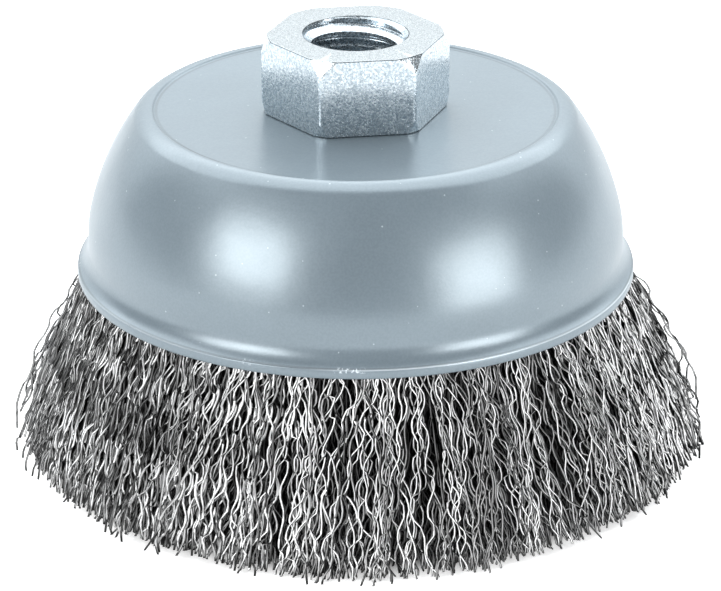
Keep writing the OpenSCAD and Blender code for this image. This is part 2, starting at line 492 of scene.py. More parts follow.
@dataclass(frozen=True)
class ArborNut:
    """Hexagonal nut with a cut thread and a spigot that is swaged over.

    Attributes:
        frame: Levels and radii of the brush.
        cup: The cup that it is fixed in.
        flats: Width across the flats.
        turn_deg: Angle of one corner from +X.
        corner_round: Radius of the upright edges.
        top_share: Where the top circle lies between the flats and the sharp corners.
        foot_share: Where the foot's circle lies between them.
        chamfer_deg: Slope of the upper chamfer.
        foot_chamfer: Height of the lower chamfer at a sharp corner.
        edge_ease: Width of the eased edges between faces.
        thread_r: Radius at the thread's roots.
        pitch: Pitch of the thread.
        mouth_extra: How much wider than the thread the countersink is.
        spigot_r: Radius of the spigot.
        swage_r: Radius of the swaged end.
        plate_under_z: Depth of the inner cup's plate below the crown.
    """

    frame: BrushFrame
    cup: CupShape
    flats: float = 22.0
    turn_deg: float = 8.3
    corner_round: float = 0.8
    top_share: float = 0.41
    foot_share: float = 0.69
    chamfer_deg: float = 66.0
    foot_chamfer: float = 2.2
    edge_ease: float = 0.12
    thread_r: float = 7.0
    pitch: float = 2.0
    mouth_extra: float = 0.1
    spigot_r: float = 9.0
    swage_r: float = 10.6
    plate_under_z: float = 2.0

    @property
    def face_r(self) -> float:
        """Distance from the axis to a flat."""
        return self.flats / 2

    @property
    def bore_r(self) -> float:
        """Radius at the thread's crests."""
        return self.thread_r - 0.54127 * self.pitch

    @property
    def top_r(self) -> float:
        """Radius of the flat top, where it is cut round."""
        return self.face_r * (1 + self.top_share * (1 / math.cos(math.pi / 6) - 1))

    @property
    def foot_r(self) -> float:
        """Radius of the foot, where it is cut round."""
        return self.face_r * (1 + self.foot_share * (1 / math.cos(math.pi / 6) - 1))

    @property
    def tangent_deg(self) -> float:
        """Angle from the middle of a side to the end of its flat."""
        inner = self.face_r - self.corner_round
        return math.degrees(math.atan(inner * math.tan(math.pi / 6) / self.face_r))

    def angles(self) -> list[float]:
        """Gives the angle of every point of a ring.

        Returns:
            Angles in radians, with a point wherever a chamfer leaves a flat or a corner starts.
        """
        top, foot = (math.degrees(math.acos(self.face_r / radius)) for radius in (self.top_r, self.foot_r))
        end = self.tangent_deg
        half = [7, 14, top, (top + foot) / 2, foot, (foot + end) / 2]
        half += [end + (30 - end) * part / 4 for part in range(4)]
        parts = [-30.0] + [-angle for angle in reversed(half)] + [0.0] + half
        middles = [self.turn_deg + 30 + 60 * side for side in range(6)]
        return [math.radians(middle + part) for middle in middles for part in parts]

    def hexagon(self, angle: float) -> float:
        """Gives the radius of the hexagon with rounded corners.

        Args:
            angle: Angle from +X in radians.

        Returns:
            Distance from the axis.
        """
        turned = math.degrees(angle) - self.turn_deg
        from_middle = math.radians(abs((turned % 60) - 30))
        half = math.radians(30)
        inner = self.face_r - self.corner_round
        if from_middle <= math.radians(self.tangent_deg):
            return self.face_r / math.cos(from_middle)
        centre = inner / math.cos(half)
        off = half - from_middle
        return centre * math.cos(off) + math.sqrt(self.corner_round**2 - (centre * math.sin(off)) ** 2)

    def rings(self) -> list[Callable[[float], Point]]:
        """Lists the rings of the outside, from the thread's mouth over the top to the swaged end.

        Returns:
            For each ring, a function from an angle to a radius and a height.
        """
        top, low, end = self.frame.nut_top_z, self.cup.crown_z, self.frame.spigot_end_z
        ease, sharp_r = self.edge_ease, self.face_r / math.cos(math.pi / 6)
        slope = math.tan(math.radians(self.chamfer_deg))
        foot_slope = self.foot_chamfer / (sharp_r - self.foot_r)
        plate = self.cup.crown_z - self.plate_under_z

        def circle(radius: float, height: float) -> Callable[[float], Point]:
            """Makes a flat round ring."""
            return lambda angle: (radius, height)

        def brim(level: float, side: int, cut_r: float, turn: float) -> Callable[[float], Point]:
            """Makes a ring on the eased edge of an end, at a turn of its arc in degrees."""
            back = ease * (1 - math.sin(math.radians(turn)))
            fall = ease * (1 - math.cos(math.radians(turn)))
            return lambda angle: (min(self.hexagon(angle), cut_r) - back, level - side * fall)

        def cut(level: float, side: int, cut_r: float, steep: float, inward: float, fall: float) -> Callable[[float], Point]:
            """Makes a ring where a chamfer meets the flats."""
            def at(angle: float) -> Point:
                """Gives the radius and height at an angle."""
                full = self.hexagon(angle)
                radius = max(full - inward, min(full, cut_r))
                return (radius, level - side * ((radius - cut_r) * steep * (radius > cut_r) + fall))
            return at

        round_r = (end - plate) / 2
        swage = self.swage_r
        return [
            circle(self.thread_r + self.mouth_extra + 0.08, top),
            brim(top, 1, self.top_r, 0),
            brim(top, 1, self.top_r, 35),
            cut(top, 1, self.top_r, slope, ease * 0.5, ease * 0.7),
            cut(top, 1, self.top_r, slope, 0, ease * 1.4),
            cut(low, -1, self.foot_r, foot_slope, 0, ease * 1.4),
            cut(low, -1, self.foot_r, foot_slope, ease * 0.2, ease * 0.7),
            brim(low, -1, self.foot_r, 35),
            brim(low, -1, self.foot_r, 0),
            circle(self.spigot_r, low),
            circle(self.spigot_r, plate),
            circle(swage + round_r * 0.1, plate),
            circle(swage, plate + round_r * 0.6),
            circle(swage + round_r * 0.4, plate + round_r * 1.4),
            circle(swage + round_r, end),
            circle(self.thread_r + self.mouth_extra + 0.08, end),
        ]

    def add_outside(self, bm: bmesh.types.BMesh) -> None:
        """Draws the outside by extruding one ring from the thread's mouth to the swaged end.

        Args:
            bm: The mesh to add to.
        """
        angles = self.angles()
        made = bmesh.ops.create_circle(bm, segments=len(angles), radius=self.face_r)
        ring = sorted(made["verts"], key=lambda v: math.atan2(v.co.y, v.co.x))
        order = dict(zip(ring, sorted(math.atan2(math.sin(a), math.cos(a)) for a in angles)))
        edges = list({edge for vert in ring for edge in vert.link_edges})
        rings = self.rings()
        self.place(order, rings[0])
        for shape in rings[1:]:
            grown = bmesh.ops.extrude_edge_only(bm, edges=edges)["geom"]
            new = [item for item in grown if isinstance(item, bmesh.types.BMVert)]
            edges = [item for item in grown if isinstance(item, bmesh.types.BMEdge)]
            near = {(round(v.co.x, 5), round(v.co.y, 5), round(v.co.z, 5)): a for v, a in order.items()}
            order = {v: near[(round(v.co.x, 5), round(v.co.y, 5), round(v.co.z, 5))] for v in new}
            self.place(order, shape)

    @staticmethod
    def place(order: dict[bmesh.types.BMVert, float], shape: Callable[[float], Point]) -> None:
        """Moves the points of a ring to its shape.

        Args:
            order: Angle of each point.
            shape: Function from an angle to a radius and a height.
        """
        for vert, angle in order.items():
            radius, height = shape(angle)
            vert.co = (radius * math.cos(angle), radius * math.sin(angle), height)

    def add_thread(self, bm: bmesh.types.BMesh) -> None:
        """Screws the thread's section down the bore and trims it at both ends.

        Args:
            bm: The mesh to add to.
        """
        pitch, crest, root = self.pitch, self.bore_r, self.thread_r
        top, end = self.frame.nut_top_z, self.frame.spigot_end_z
        turns = math.ceil((top - end) / pitch) + 2
        per_turn = 48
        start = end - 1.5 * pitch
        shares = ((crest, 0), (crest, 0.22), (root - 0.08, 0.53), (root, 0.58), (root, 0.64), (root - 0.08, 0.69), (crest, 1))
        verts = [bm.verts.new((radius, 0, start + share * pitch)) for radius, share in shares]
        edges = [bm.edges.new((a, b)) for a, b in zip(verts, verts[1:])]
        before = set(bm.verts) - set(verts)
        bmesh.ops.spin(
            bm, geom=verts + edges, cent=(0, 0, 0), axis=(0, 0, 1), dvec=(0, 0, pitch / per_turn),
            angle=FULL_TURN * turns, steps=per_turn * turns,
        )
        cut = [v for v in bm.verts if v not in before]
        bmesh.ops.remove_doubles(bm, verts=cut, dist=1e-4)
        for level, side in ((top, 1), (end, -1)):
            thread = [v for v in bm.verts if v not in before]
            geom = thread + list({e for v in thread for e in v.link_edges})
            geom += list({f for v in thread for f in v.link_faces})
            bmesh.ops.bisect_plane(
                bm, geom=geom, dist=1e-5, plane_co=(0, 0, level), plane_no=(0, 0, side), clear_outer=True,
            )
        mouth = root + self.mouth_extra
        for vert in (v for v in bm.verts if v not in before):
            inside = min(top - vert.co.z, vert.co.z - end)
            radius = math.hypot(vert.co.x, vert.co.y)
            wide = max(radius, mouth - inside)
            vert.co.x *= wide / radius
            vert.co.y *= wide / radius

    def close_mouths(self, bm: bmesh.types.BMesh) -> None:
        """Joins the thread to the outside at both ends of the bore.

        Args:
            bm: The mesh with the outside and the thread.
        """
        for level in (self.frame.nut_top_z, self.frame.spigot_end_z):
            open_edges = [
                edge for edge in bm.edges
                if len(edge.link_faces) == 1 and all(abs(v.co.z - level) < 1e-3 for v in edge.verts)
            ]
            bmesh.ops.bridge_loops(bm, edges=open_edges)

    def build(self) -> bpy.types.Object:
        """Builds the nut.

        Returns:
            The new object.
        """
        bm = bmesh.new()
        self.add_outside(bm)
        self.add_thread(bm)
        self.close_mouths(bm)
        piece = finish_mesh(bm, "threaded_arbor_nut", sharp_deg=40.0)
        weighted = piece.modifiers.new("even_faces", "WEIGHTED_NORMAL")
        weighted.keep_sharp = True
        return piece


# Wires


class Layer(enum.Enum):
    """Layers of the skirt, from its outer face to its inner one."""

    SURFACE = "surface"
    OUTER = "outer"
    MIDDLE = "middle"
    INNER = "inner"


@dataclass(frozen=True)
class WireLayer:
    """One layer of crimped wires, laid all round the skirt.

    Attributes:
        layer: Which layer it is.
        count: Number of wires.
        low: Share of the band's width where it starts, from the inside.
        high: Share of the band's width where it ends.
        rings_per_bend: Points at each bend, from one for a sharp bend to three for a round one.
        pieces: Number of meshes that it is split into.
        seed: Seed of its random draws.
        thickness: Diameter of a wire.
        loose_share: Share of wires that lie by themselves and not in step with their neighbours.
        loose_lean: Spread of the lean of those, in degrees.
        stray_share: Share of wires that stray outwards.
        plane_deg: Largest turn of a crimp's plane out of the skirt's surface, in degrees.
        splay: How far the layer splays outwards close to the trim.
        crowding: How far the wires crowd towards the outer side, where 1 is evenly.
    """

    layer: Layer
    count: int
    low: float
    high: float
    rings_per_bend: int
    pieces: int
    seed: int
    thickness: float = 0.33
    loose_share: float = 0.45
    loose_lean: float = 8.5
    stray_share: float = 0.0
    plane_deg: float = 72.0
    splay: float = 0.0
    crowding: float = 1.0


class Clumps:
    """Random draws for wires of which most lie in step with the others of their clump."""

    def __init__(self, rng: np.random.Generator, count: int, size: int, loose_share: float) -> None:
        """Sorts the wires into clumps.

        Args:
            rng: Source of random draws.
            count: Number of wires.
            size: Number of wires in a clump.
            loose_share: Share of the wires that lie by themselves.
        """
        self.rng = rng
        self.count = count
        self.first = np.arange(count) // size * size
        self.loose = (np.arange(count) * 0.7548776662) % 1.0 < loose_share

    def mixed(self, shared: np.ndarray, own: np.ndarray, apart: float) -> np.ndarray:
        """Gives each wire the value of its clump, or its own where it lies loose.

        Args:
            shared: A value for each wire, of which the first of a clump counts.
            own: A value for each wire by itself.
            apart: Spread inside a clump.

        Returns:
            The value of each wire.
        """
        return np.where(self.loose, own, shared[self.first] + self.rng.normal(0, apart, self.count))

    def even(self, apart: float) -> np.ndarray:
        """Draws values spread evenly from 0 to 1.

        Args:
            apart: Spread inside a clump.

        Returns:
            The value of each wire.
        """
        shared, own = self.rng.uniform(0, 1, (2, self.count))
        return self.mixed(shared, own, apart)

    def normal(self, shared: float, own: float, apart: float) -> np.ndarray:
        """Draws values spread round zero.

        Args:
            shared: Spread from clump to clump.
            own: Spread of the loose wires.
            apart: Spread inside a clump.

        Returns:
            The value of each wire.
        """
        draws = self.rng.normal(0, 1, (2, self.count))
        return self.mixed(draws[0] * shared, draws[1] * own, apart)


@dataclass(frozen=True)
class WireSkirt:
    """The flared skirt of crimped wires.

    Attributes:
        frame: Levels and radii of the brush.
        cup: The cup whose mouth it comes out of.
        top_z: Level where the drawn wires start, inside the mouth.
        levels: Levels of the outlines, from the mouth to the trim.
        outer_radii: Radius of the skirt's outside at each level.
        inner_radii: Radius of its inside at each level.
        bends: Crimp bends along a wire.
        crimp: Half the height of the crimp.
        waver: Slow swing of a wire towards the axis and away from it.
        clump: Number of neighbours that lie in step with each other.
        lean_deg: Spread of the lean from clump to clump.
        drift_deg: Spread of the lean from one side of the skirt to another.
        scatter: Spread of the wires' distance from their place at the trim.
        stray: How far a stray mostly stands out at the trim.
        sway: How far the whole skirt leans to +X and to +Y at the trim.
        ragged: Spread of the tips' heights.
    """

    frame: BrushFrame
    cup: CupShape
    top_z: float = 27.6
    levels: Sequence[float] = (0, 6, 12, 18, 24, 28)
    outer_radii: Sequence[float] = (45.8, 43.8, 41.5, 38.9, 36.2, 34.5)
    inner_radii: Sequence[float] = (26.4, 25.7, 24.9, 24.0, 23.2, 23.0)
    bends: int = 11
    crimp: float = 0.47
    waver: float = 0.45
    clump: int = 4
    lean_deg: float = 6.0
    drift_deg: float = 4.0
    scatter: float = 0.3
    stray: float = 3.0
    sway: Point = (0.85, -0.4)
    ragged: float = 0.38

    def lay(self, share: np.ndarray, height: np.ndarray) -> np.ndarray:
        """Gives the radius of a wire's middle line.

        Args:
            share: Place of each wire in the band, from 0 inside to 1 outside.
            height: Levels along each wire.

        Returns:
            Radii of the same form as the levels.
        """
        outer = np.polyval(np.polyfit(self.levels, self.outer_radii, 3), height)
        inner = np.polyval(np.polyfit(self.levels, self.inner_radii, 3), height)
        return inner + (outer - inner) * share[:, None]

    def drift(self, rng: np.random.Generator, angle: np.ndarray) -> np.ndarray:
        """Gives the slow change of the lean round the skirt.

        Args:
            rng: Source of random draws.
            angle: Angle of each wire.

        Returns:
            Lean of each wire in degrees.
        """
        waves = np.arange(3, 19, 2)
        phase = rng.uniform(0, FULL_TURN, len(waves))
        total = np.sin(angle[:, None] * waves + phase).sum(1)
        return total / total.std() * self.drift_deg

    def bends_of(self, clumps: Clumps, per_bend: int) -> tuple[np.ndarray, np.ndarray]:
        """Places the rings of every wire along its length, and its crimp at each.

        Args:
            clumps: The draws of the layer's wires.
            per_bend: Points at each bend.

        Returns:
            Share of the length and share of the crimp at each ring of each wire.
        """
        rng, count = clumps.rng, clumps.count
        first = np.clip(clumps.even(0.05), 0.04, 1)[:, None]
        pace = clumps.even(0.05)[:, None]
        last = np.clip(0.5 + pace - first, 0.04, 1.4)
        side = np.where(clumps.even(0.0) < 0.5, -1.0, 1.0)[:, None]
        half = 1 / (self.bends - 1 + first + last)
        bend = np.arange(self.bends)[None, :]
        crest = (first + bend + rng.normal(0, 0.15, (count, self.bends))) * half
        swing = side * np.where(bend % 2 == 0, 1.0, -1.0) * rng.uniform(0.4, 1.3, (count, self.bends))
        start_swing, end_swing = swing[:, :1] * (1 - first), swing[:, -1:] * (1 - last)
        parts = np.array({1: [0.0], 2: [-0.2, 0.2], 3: [-0.28, 0.0, 0.28]}[per_bend])
        lower = 1 - (parts / 0.28) ** 2 * (0.17 if per_bend == 3 else 0)
        crest = (crest[:, :, None] + parts * half[:, :, None]).reshape(count, -1)
        swing = (swing[:, :, None] * lower).reshape(count, -1)
        step = 0.0015 * np.arange(1, crest.shape[1] + 1)
        crest = np.minimum(np.maximum(crest, step), 1 - step[::-1])
        along = np.concatenate([np.zeros((count, 1)), crest, np.ones((count, 1))], 1)
        return along, np.concatenate([start_swing, swing, end_swing], 1)

    def paths(self, layer: WireLayer) -> tuple[np.ndarray, np.ndarray, np.ndarray]:
        """Works out the middle line of every wire of a layer.

        Args:
            layer: The layer.

        Returns:
            Points of each wire, its brightness with painted shade on strays and some other wires, and the depth of
            painted shade at each point, which grows under the skirt's faces and towards the mouth.
        """
        rng = np.random.default_rng(layer.seed)
        count = layer.count
        clumps = Clumps(rng, count, self.clump, layer.loose_share)
        inward = np.clip(clumps.even(0.1), 0, 1) ** layer.crowding
        share = layer.high - (layer.high - layer.low) * inward
        place = rng.permutation(count) / count * FULL_TURN
        start = clumps.mixed(place, place, 0.8 / 38)
        along, swing = self.bends_of(clumps, layer.rings_per_bend)
        tip = np.abs(rng.normal(0, self.ragged, count)) * np.where(rng.uniform(0, 1, count) < 0.1, 3.0, 1.0)
        aside = np.abs(np.degrees(np.arcsin(np.clip(np.cos(start), -1, 1)))) / 24
        tip = np.minimum(tip + 0.8 * np.minimum(aside, 1) ** 2, 4.0) + 0.05
        top = self.top_z + rng.uniform(-1, 0.4, count)[:, None]
        height = top + (tip[:, None] - top) * along
        spread = rng.normal(0, self.scatter, count)[:, None] * along**1.3
        strays = rng.uniform(0, 1, count) < layer.stray_share
        wander = np.where(strays, (0.3 + 1.3 * rng.uniform(0, 1, count) ** 3) * self.stray, 0)[:, None]
        radius = self.lay(share, height) + spread + layer.splay * along**4
        radius = radius + np.minimum(wander * along**1.2, np.maximum(self.frame.reach - 0.7 - radius, 0))
        far = np.where(rng.uniform(0, 1, count) < 0.08, 2.4, 1.0)
        lean = clumps.mixed(rng.normal(0, self.lean_deg, count), rng.normal(0, layer.loose_lean, count) * far, 1.2)
        lean = np.clip(lean + self.drift(rng, start), -34, 34)
        curl = clumps.normal(0.7, 0.9, 0.15)[:, None]
        pace = 0.8 + 1.2 * clumps.even(0.05)[:, None]
        phase = FULL_TURN * clumps.even(0.05)[:, None]
        waver = self.waver * layer.plane_deg / 72
        radius = radius + waver * np.sin(FULL_TURN * pace * along + phase) * np.minimum(1, along * 5)
        side = np.tan(np.radians(lean))[:, None] * (top - height) + curl * np.sin(along * math.pi)
        turn = np.radians(np.where(strays, 90.0, layer.plane_deg))
        plane = ((clumps.even(0.04) * 2 - 1) * turn)[:, None]
        pinch = np.clip((self.top_z + 0.6 - height) / 4.0, 0.15, 1.0)
        crimp = self.crimp * swing * pinch
        radius = radius + crimp * np.sin(plane)
        side = side + crimp * np.cos(plane)
        angle = start[:, None] + side / radius
        lean_out = self.sway[0] * np.cos(angle) + self.sway[1] * np.sin(angle)
        radius = radius + lean_out * np.clip(1 - height / 26, 0, 1)
        room = np.where(
            height > self.frame.rim_z - 0.4,
            self.cup.lip_inside(height) - layer.thickness / 2 - 0.05,
            self.frame.reach - layer.thickness / 2,
        )
        radius = np.minimum(radius, room)
        points = np.stack([radius * np.cos(angle), radius * np.sin(angle), height], -1)
        # Brightness differs from wire to wire at random; strays and about one wire in eight are darkened as painted
        # shade.
        bright = np.clip(rng.normal(1.08, 0.16, count), 0.5, 1.3) * np.where(strays, 0.42, 1.0)
        bright = bright * np.where(rng.uniform(0, 1, count) < 0.12, 0.35, 1.0)
        # Painted shade: wires darken with their depth under the skirt's faces and towards the cup's mouth, where shade
        # falls.
        depth = np.minimum(np.clip((0.995 - share) * 20, 0, 1), share * 11)[:, None]
        depth = np.clip(depth * (0.66 + 0.8 * height / self.frame.rim_z), 0, 1)
        return points, bright, depth

    @staticmethod
    def straight_wire(rings: int, thickness: float) -> bpy.types.Mesh:
        """Extrudes one straight wire with a closed end at each side.

        Args:
            rings: Number of rings along it.
            thickness: Diameter of the wire.

        Returns:
            A mesh whose points come ring by ring.
        """
        bm = bmesh.new()
        made = bmesh.ops.create_circle(bm, cap_ends=True, segments=3, radius=thickness * 0.58)
        ring = made["verts"]
        face = bm.faces[:][0] if len(bm.faces) else None
        for _ in range(rings - 1):
            grown = bmesh.ops.extrude_face_region(bm, geom=[face], use_keep_orig=False)["geom"]
            ring = [item for item in grown if isinstance(item, bmesh.types.BMVert)]
            face = next(item for item in grown if isinstance(item, bmesh.types.BMFace))
            bmesh.ops.translate(bm, vec=(0, 0, 1), verts=ring)
        bmesh.ops.recalc_face_normals(bm, faces=bm.faces)
        mesh = bpy.data.meshes.new("straight_wire")
        bm.to_mesh(mesh)
        bm.free()
        return mesh

    def draw(
        self, name: str, thickness: float, points: np.ndarray, bright: np.ndarray, depth: np.ndarray,
    ) -> bpy.types.Object:
        """Bends copies of one straight wire onto the given lines.

        Args:
            name: Name of the piece.
            thickness: Diameter of a wire.
            points: Points of each wire, from the mouth to its tip.
            bright: Brightness of each wire, with painted shade on strays and on some dark wires.
            depth: Depth of painted shade at each point, which grows under the skirt's faces and towards the mouth.

        Returns:
            The new object.
        """
        count, rings = points.shape[:2]
        wire = self.straight_wire(rings, thickness)
        rest = np.zeros(len(wire.vertices) * 3)
        wire.vertices.foreach_get("co", rest)
        rest = rest.reshape(-1, 3)
        bm = bmesh.new()
        for _ in range(count):
            bm.from_mesh(wire)
        mesh = bpy.data.meshes.new(name)
        bm.to_mesh(mesh)
        bm.free()
        bpy.data.meshes.remove(wire)
        ring_of = np.rint(rest[:, 2]).astype(int)
        middle = points[:, ring_of]
        outward = middle * (1, 1, 0)
        outward = outward / np.linalg.norm(outward, axis=-1, keepdims=True)
        side = np.stack([-outward[..., 1], outward[..., 0], np.zeros_like(outward[..., 0])], -1)
        moved = middle + outward * rest[None, :, :1] + side * rest[None, :, 1:2]
        mesh.vertices.foreach_set("co", (moved * MM).astype(np.float32).ravel())
        for label, values in (("wire_bright", np.repeat(bright, len(rest))), ("wire_depth_shade", depth[:, ring_of].ravel())):
            held = mesh.attributes.new(label, "FLOAT", "POINT")
            held.data.foreach_set("value", values.astype(np.float32))
        mesh.shade_smooth()
        mesh.update()
        piece = bpy.data.objects.new(name, mesh)
        bpy.context.scene.collection.objects.link(piece)
        return piece

    def build_core(self, inner_cup: "InnerCupShape") -> bpy.types.Object:
        """Builds the tight bundle that the wires come out of, between the cups and down the skirt.

        Args:
            inner_cup: The inner cup that presses on the bundle.

        Returns:
            The new object.
        """
        gap, top_z = 0.15, self.cup.crown_z - self.cup.thickness
        mouth = [p for p in self.cup.sheet().skin(self.cup.thickness + gap) if 27.8 < p[1] < top_z - gap]
        lay = [(float(self.lay(np.array([0.72]), np.array([[z]]))[0, 0]), float(z)) for z in (25.5, 20, 14, 8, 3.5)]
        face = [(float(self.lay(np.array([0.2]), np.array([[z]]))[0, 0]), float(z)) for z in (3.5, 12, 20, 25)]
        inside = [p for p in inner_cup.sheet().skin(-gap) if p[1] < top_z - gap and p[1] > 27.2][::-1]
        return spun_piece("packed_wire_core", mouth + lay + face + inside, 128)

    def build(self, layers: Sequence[WireLayer]) -> dict[Layer, list[bpy.types.Object]]:
        """Builds every layer of wires.

        Args:
            layers: The layers.

        Returns:
            The pieces of each layer.
        """
        made: dict[Layer, list[bpy.types.Object]] = {}
        for layer in layers:
            points, bright, depth = self.paths(layer)
            around = np.arctan2(points[:, 0, 1], points[:, 0, 0]) % FULL_TURN
            sector = np.minimum((around / FULL_TURN * layer.pieces).astype(int), layer.pieces - 1)
            made[layer.layer] = []
            for part in range(layer.pieces):
                chosen = sector == part
                name = f"crimped_wires_{layer.layer.value}_{part + 1}"
                made[layer.layer].append(self.draw(name, layer.thickness, points[chosen], bright[chosen], depth[chosen]))
        return made


# Finishes


class Shader:
    """Short words for the nodes of one material or node group."""

    def __init__(self, tree: bpy.types.NodeTree) -> None:
        """Takes the tree to work in.

        Args:
            tree: Node tree of a material or a group.
        """
        self.tree = tree

    def add(self, kind: str, **settings: object) -> bpy.types.Node:
        """Adds a node.

        Args:
            kind: Type name of the node.
            **settings: Properties to set on it.

        Returns:
            The node.
        """
        node = self.tree.nodes.new(kind)
        for label, value in settings.items():
            setattr(node, label, value)
        return node

    def link(self, out: bpy.types.NodeSocket, into: bpy.types.NodeSocket) -> None:
        """Links an output to an input."""
        self.tree.links.new(out, into)

    def noise(self, coords: bpy.types.NodeSocket, scale: float, detail: float = 2.0) -> bpy.types.NodeSocket:
        """Adds a noise pattern.

        Args:
            coords: Coordinates in metres.
            scale: Scale for each metre.
            detail: Number of finer layers.

        Returns:
            The pattern's value.
        """
        node = self.add("ShaderNodeTexNoise")
        node.inputs["Scale"].default_value = scale
        node.inputs["Detail"].default_value = detail
        self.link(coords, node.inputs["Vector"])
        return node.outputs["Fac"]

    def spread(self, value: bpy.types.NodeSocket, low: float, high: float, to_low: float = 0.0, to_high: float = 1.0) -> bpy.types.NodeSocket:
        """Maps a range of values onto another.

        Args:
            value: Value to map.
            low: Start of its range.
            high: End of its range.
            to_low: Start of the new range.
            to_high: End of the new range.

        Returns:
            The mapped value.
        """
        node = self.add("ShaderNodeMapRange")
        for label, number in (("From Min", low), ("From Max", high), ("To Min", to_low), ("To Max", to_high)):
            node.inputs[label].default_value = number
        self.link(value, node.inputs["Value"])
        return node.outputs["Result"]

    def math(self, action: str, first: bpy.types.NodeSocket | float, second: bpy.types.NodeSocket | float) -> bpy.types.NodeSocket:
        """Adds a sum of two values.

        Args:
            action: Name of the operation.
            first: First value.
            second: Second value.

        Returns:
            The result.
        """
        node = self.add("ShaderNodeMath", operation=action)
        for socket, value in zip(node.inputs, (first, second)):
            if isinstance(value, (int, float)):
                socket.default_value = value
            else:
                self.link(value, socket)
        return node.outputs[0]

    def from_axis(self, coords: bpy.types.NodeSocket) -> tuple[bpy.types.NodeSocket, bpy.types.NodeSocket]:
        """Splits coordinates into the distance from the axis and the height.

        Args:
            coords: Coordinates in metres.

        Returns:
            The distance and the height.
        """
        parts = self.add("ShaderNodeSeparateXYZ")
        self.link(coords, parts.inputs[0])
        squares = [self.math("MULTIPLY", parts.outputs[axis], parts.outputs[axis]) for axis in ("X", "Y")]
        return self.math("POWER", self.math("ADD", *squares), 0.5), parts.outputs["Z"]

    def band(self, value: bpy.types.NodeSocket, middle: float, half: float, soft: float) -> bpy.types.NodeSocket:
        """Marks the values near a middle one.

        Args:
            value: Value to look at.
            middle: Middle of the band.
            half: Half the width of its full part.
            soft: Width over which it fades.

        Returns:
            One in the band, and zero away from it.
        """
        off = self.math("ABSOLUTE", self.math("SUBTRACT", value, middle), 0.0)
        return self.spread(off, half, half + soft, 1.0, 0.0)

    def mix(self, share: bpy.types.NodeSocket | float, first: object, second: object) -> bpy.types.NodeSocket:
        """Mixes two colours.

        Args:
            share: Share of the second.
            first: First colour or socket.
            second: Second colour or socket.

        Returns:
            The mixed colour.
        """
        node = self.add("ShaderNodeMix", data_type="RGBA")
        sockets = (node.inputs[0], node.inputs[6], node.inputs[7])
        for socket, value in zip(sockets, (share, first, second)):
            if isinstance(value, bpy.types.NodeSocket):
                self.link(value, socket)
            else:
                socket.default_value = value
        return node.outputs[2]

    def bump(self, height: bpy.types.NodeSocket, distance: float, strength: float, normal: bpy.types.NodeSocket | None = None) -> bpy.types.NodeSocket:
        """Adds a bump.

        Args:
            height: Height pattern.
            distance: Height of one unit, in metres.
            strength: Strength from 0 to 1.
            normal: Normal that it starts from.

        Returns:
            The new normal.
        """
        node = self.add("ShaderNodeBump")
        node.inputs["Distance"].default_value = distance
        node.inputs["Strength"].default_value = strength
        self.link(height, node.inputs["Height"])
        if normal is not None:
            self.link(normal, node.inputs["Normal"])
        return node.outputs["Normal"]


class SpeckGroup:
    """Node group that scatters small round specks over a surface."""

    NAME = "small_specks"

    @classmethod
    def tree(cls) -> bpy.types.NodeTree:
        """Makes the group once.

        Returns:
            The group's node tree, with the outputs Specks and Grain.
        """
        if cls.NAME in bpy.data.node_groups:
            return bpy.data.node_groups[cls.NAME]
        tree = bpy.data.node_groups.new(cls.NAME, "ShaderNodeTree")
        sockets = (("Vector", "INPUT", "NodeSocketVector"), ("Scale", "INPUT", "NodeSocketFloat"),
                   ("Size", "INPUT", "NodeSocketFloat"), ("Share", "INPUT", "NodeSocketFloat"),
                   ("Specks", "OUTPUT", "NodeSocketFloat"), ("Grain", "OUTPUT", "NodeSocketFloat"))
        for label, way, kind in sockets:
            tree.interface.new_socket(name=label, in_out=way, socket_type=kind)
        shader = Shader(tree)
        given = shader.add("NodeGroupInput")
        out = shader.add("NodeGroupOutput")
        cells = shader.add("ShaderNodeTexVoronoi")
        shader.link(given.outputs["Vector"], cells.inputs["Vector"])
        shader.link(given.outputs["Scale"], cells.inputs["Scale"])
        parts = shader.add("ShaderNodeSeparateColor")
        shader.link(cells.outputs["Color"], parts.inputs["Color"])
        near = shader.math("LESS_THAN", cells.outputs["Distance"], given.outputs["Size"])
        kept = shader.math("LESS_THAN", parts.outputs["Red"], given.outputs["Share"])
        shader.link(shader.math("MULTIPLY", near, kept), out.inputs["Specks"])
        shader.link(parts.outputs["Green"], out.inputs["Grain"])
        return tree

    @classmethod
    def use(cls, shader: Shader, coords: bpy.types.NodeSocket, scale: float, size: float, share: float) -> bpy.types.Node:
        """Places the group in a material.

        Args:
            shader: The material's nodes.
            coords: Coordinates in metres.
            scale: Cells for each metre.
            size: Size of a speck as a share of its cell.
            share: Share of the cells that hold a speck.

        Returns:
            The group node.
        """
        node = shader.add("ShaderNodeGroup", node_tree=cls.tree())
        shader.link(coords, node.inputs["Vector"])
        for label, value in (("Scale", scale), ("Size", size), ("Share", share)):
            node.inputs[label].default_value = value
        return node


@dataclass(frozen=True)
class Finish:
    """Base of every finish.

    Attributes:
        name: Name of the material.
        colour: Main colour, linear.
        roughness: Main roughness.
        metallic: Metallic share.
    """

    name: str
    colour: tuple[float, float, float, float]
    roughness: float
    metallic: float

    def material(self) -> bpy.types.Material:
        """Builds the material.

        Returns:
            The material, with its pattern linked in.
        """
        made = bpy.data.materials.new(self.name)
        made.use_nodes = True
        shader = Shader(made.node_tree)
        skin = made.node_tree.nodes["Principled BSDF"]
        skin.inputs["Metallic"].default_value = self.metallic
        skin.inputs["Roughness"].default_value = self.roughness
        skin.inputs["Base Color"].default_value = self.colour
        coords = shader.add("ShaderNodeTexCoord").outputs["Object"]
        self.dress(shader, skin, coords)
        return made

    def dress(self, shader: Shader, skin: bpy.types.Node, coords: bpy.types.NodeSocket) -> None:
        """Adds the pattern of the finish. The base has none."""


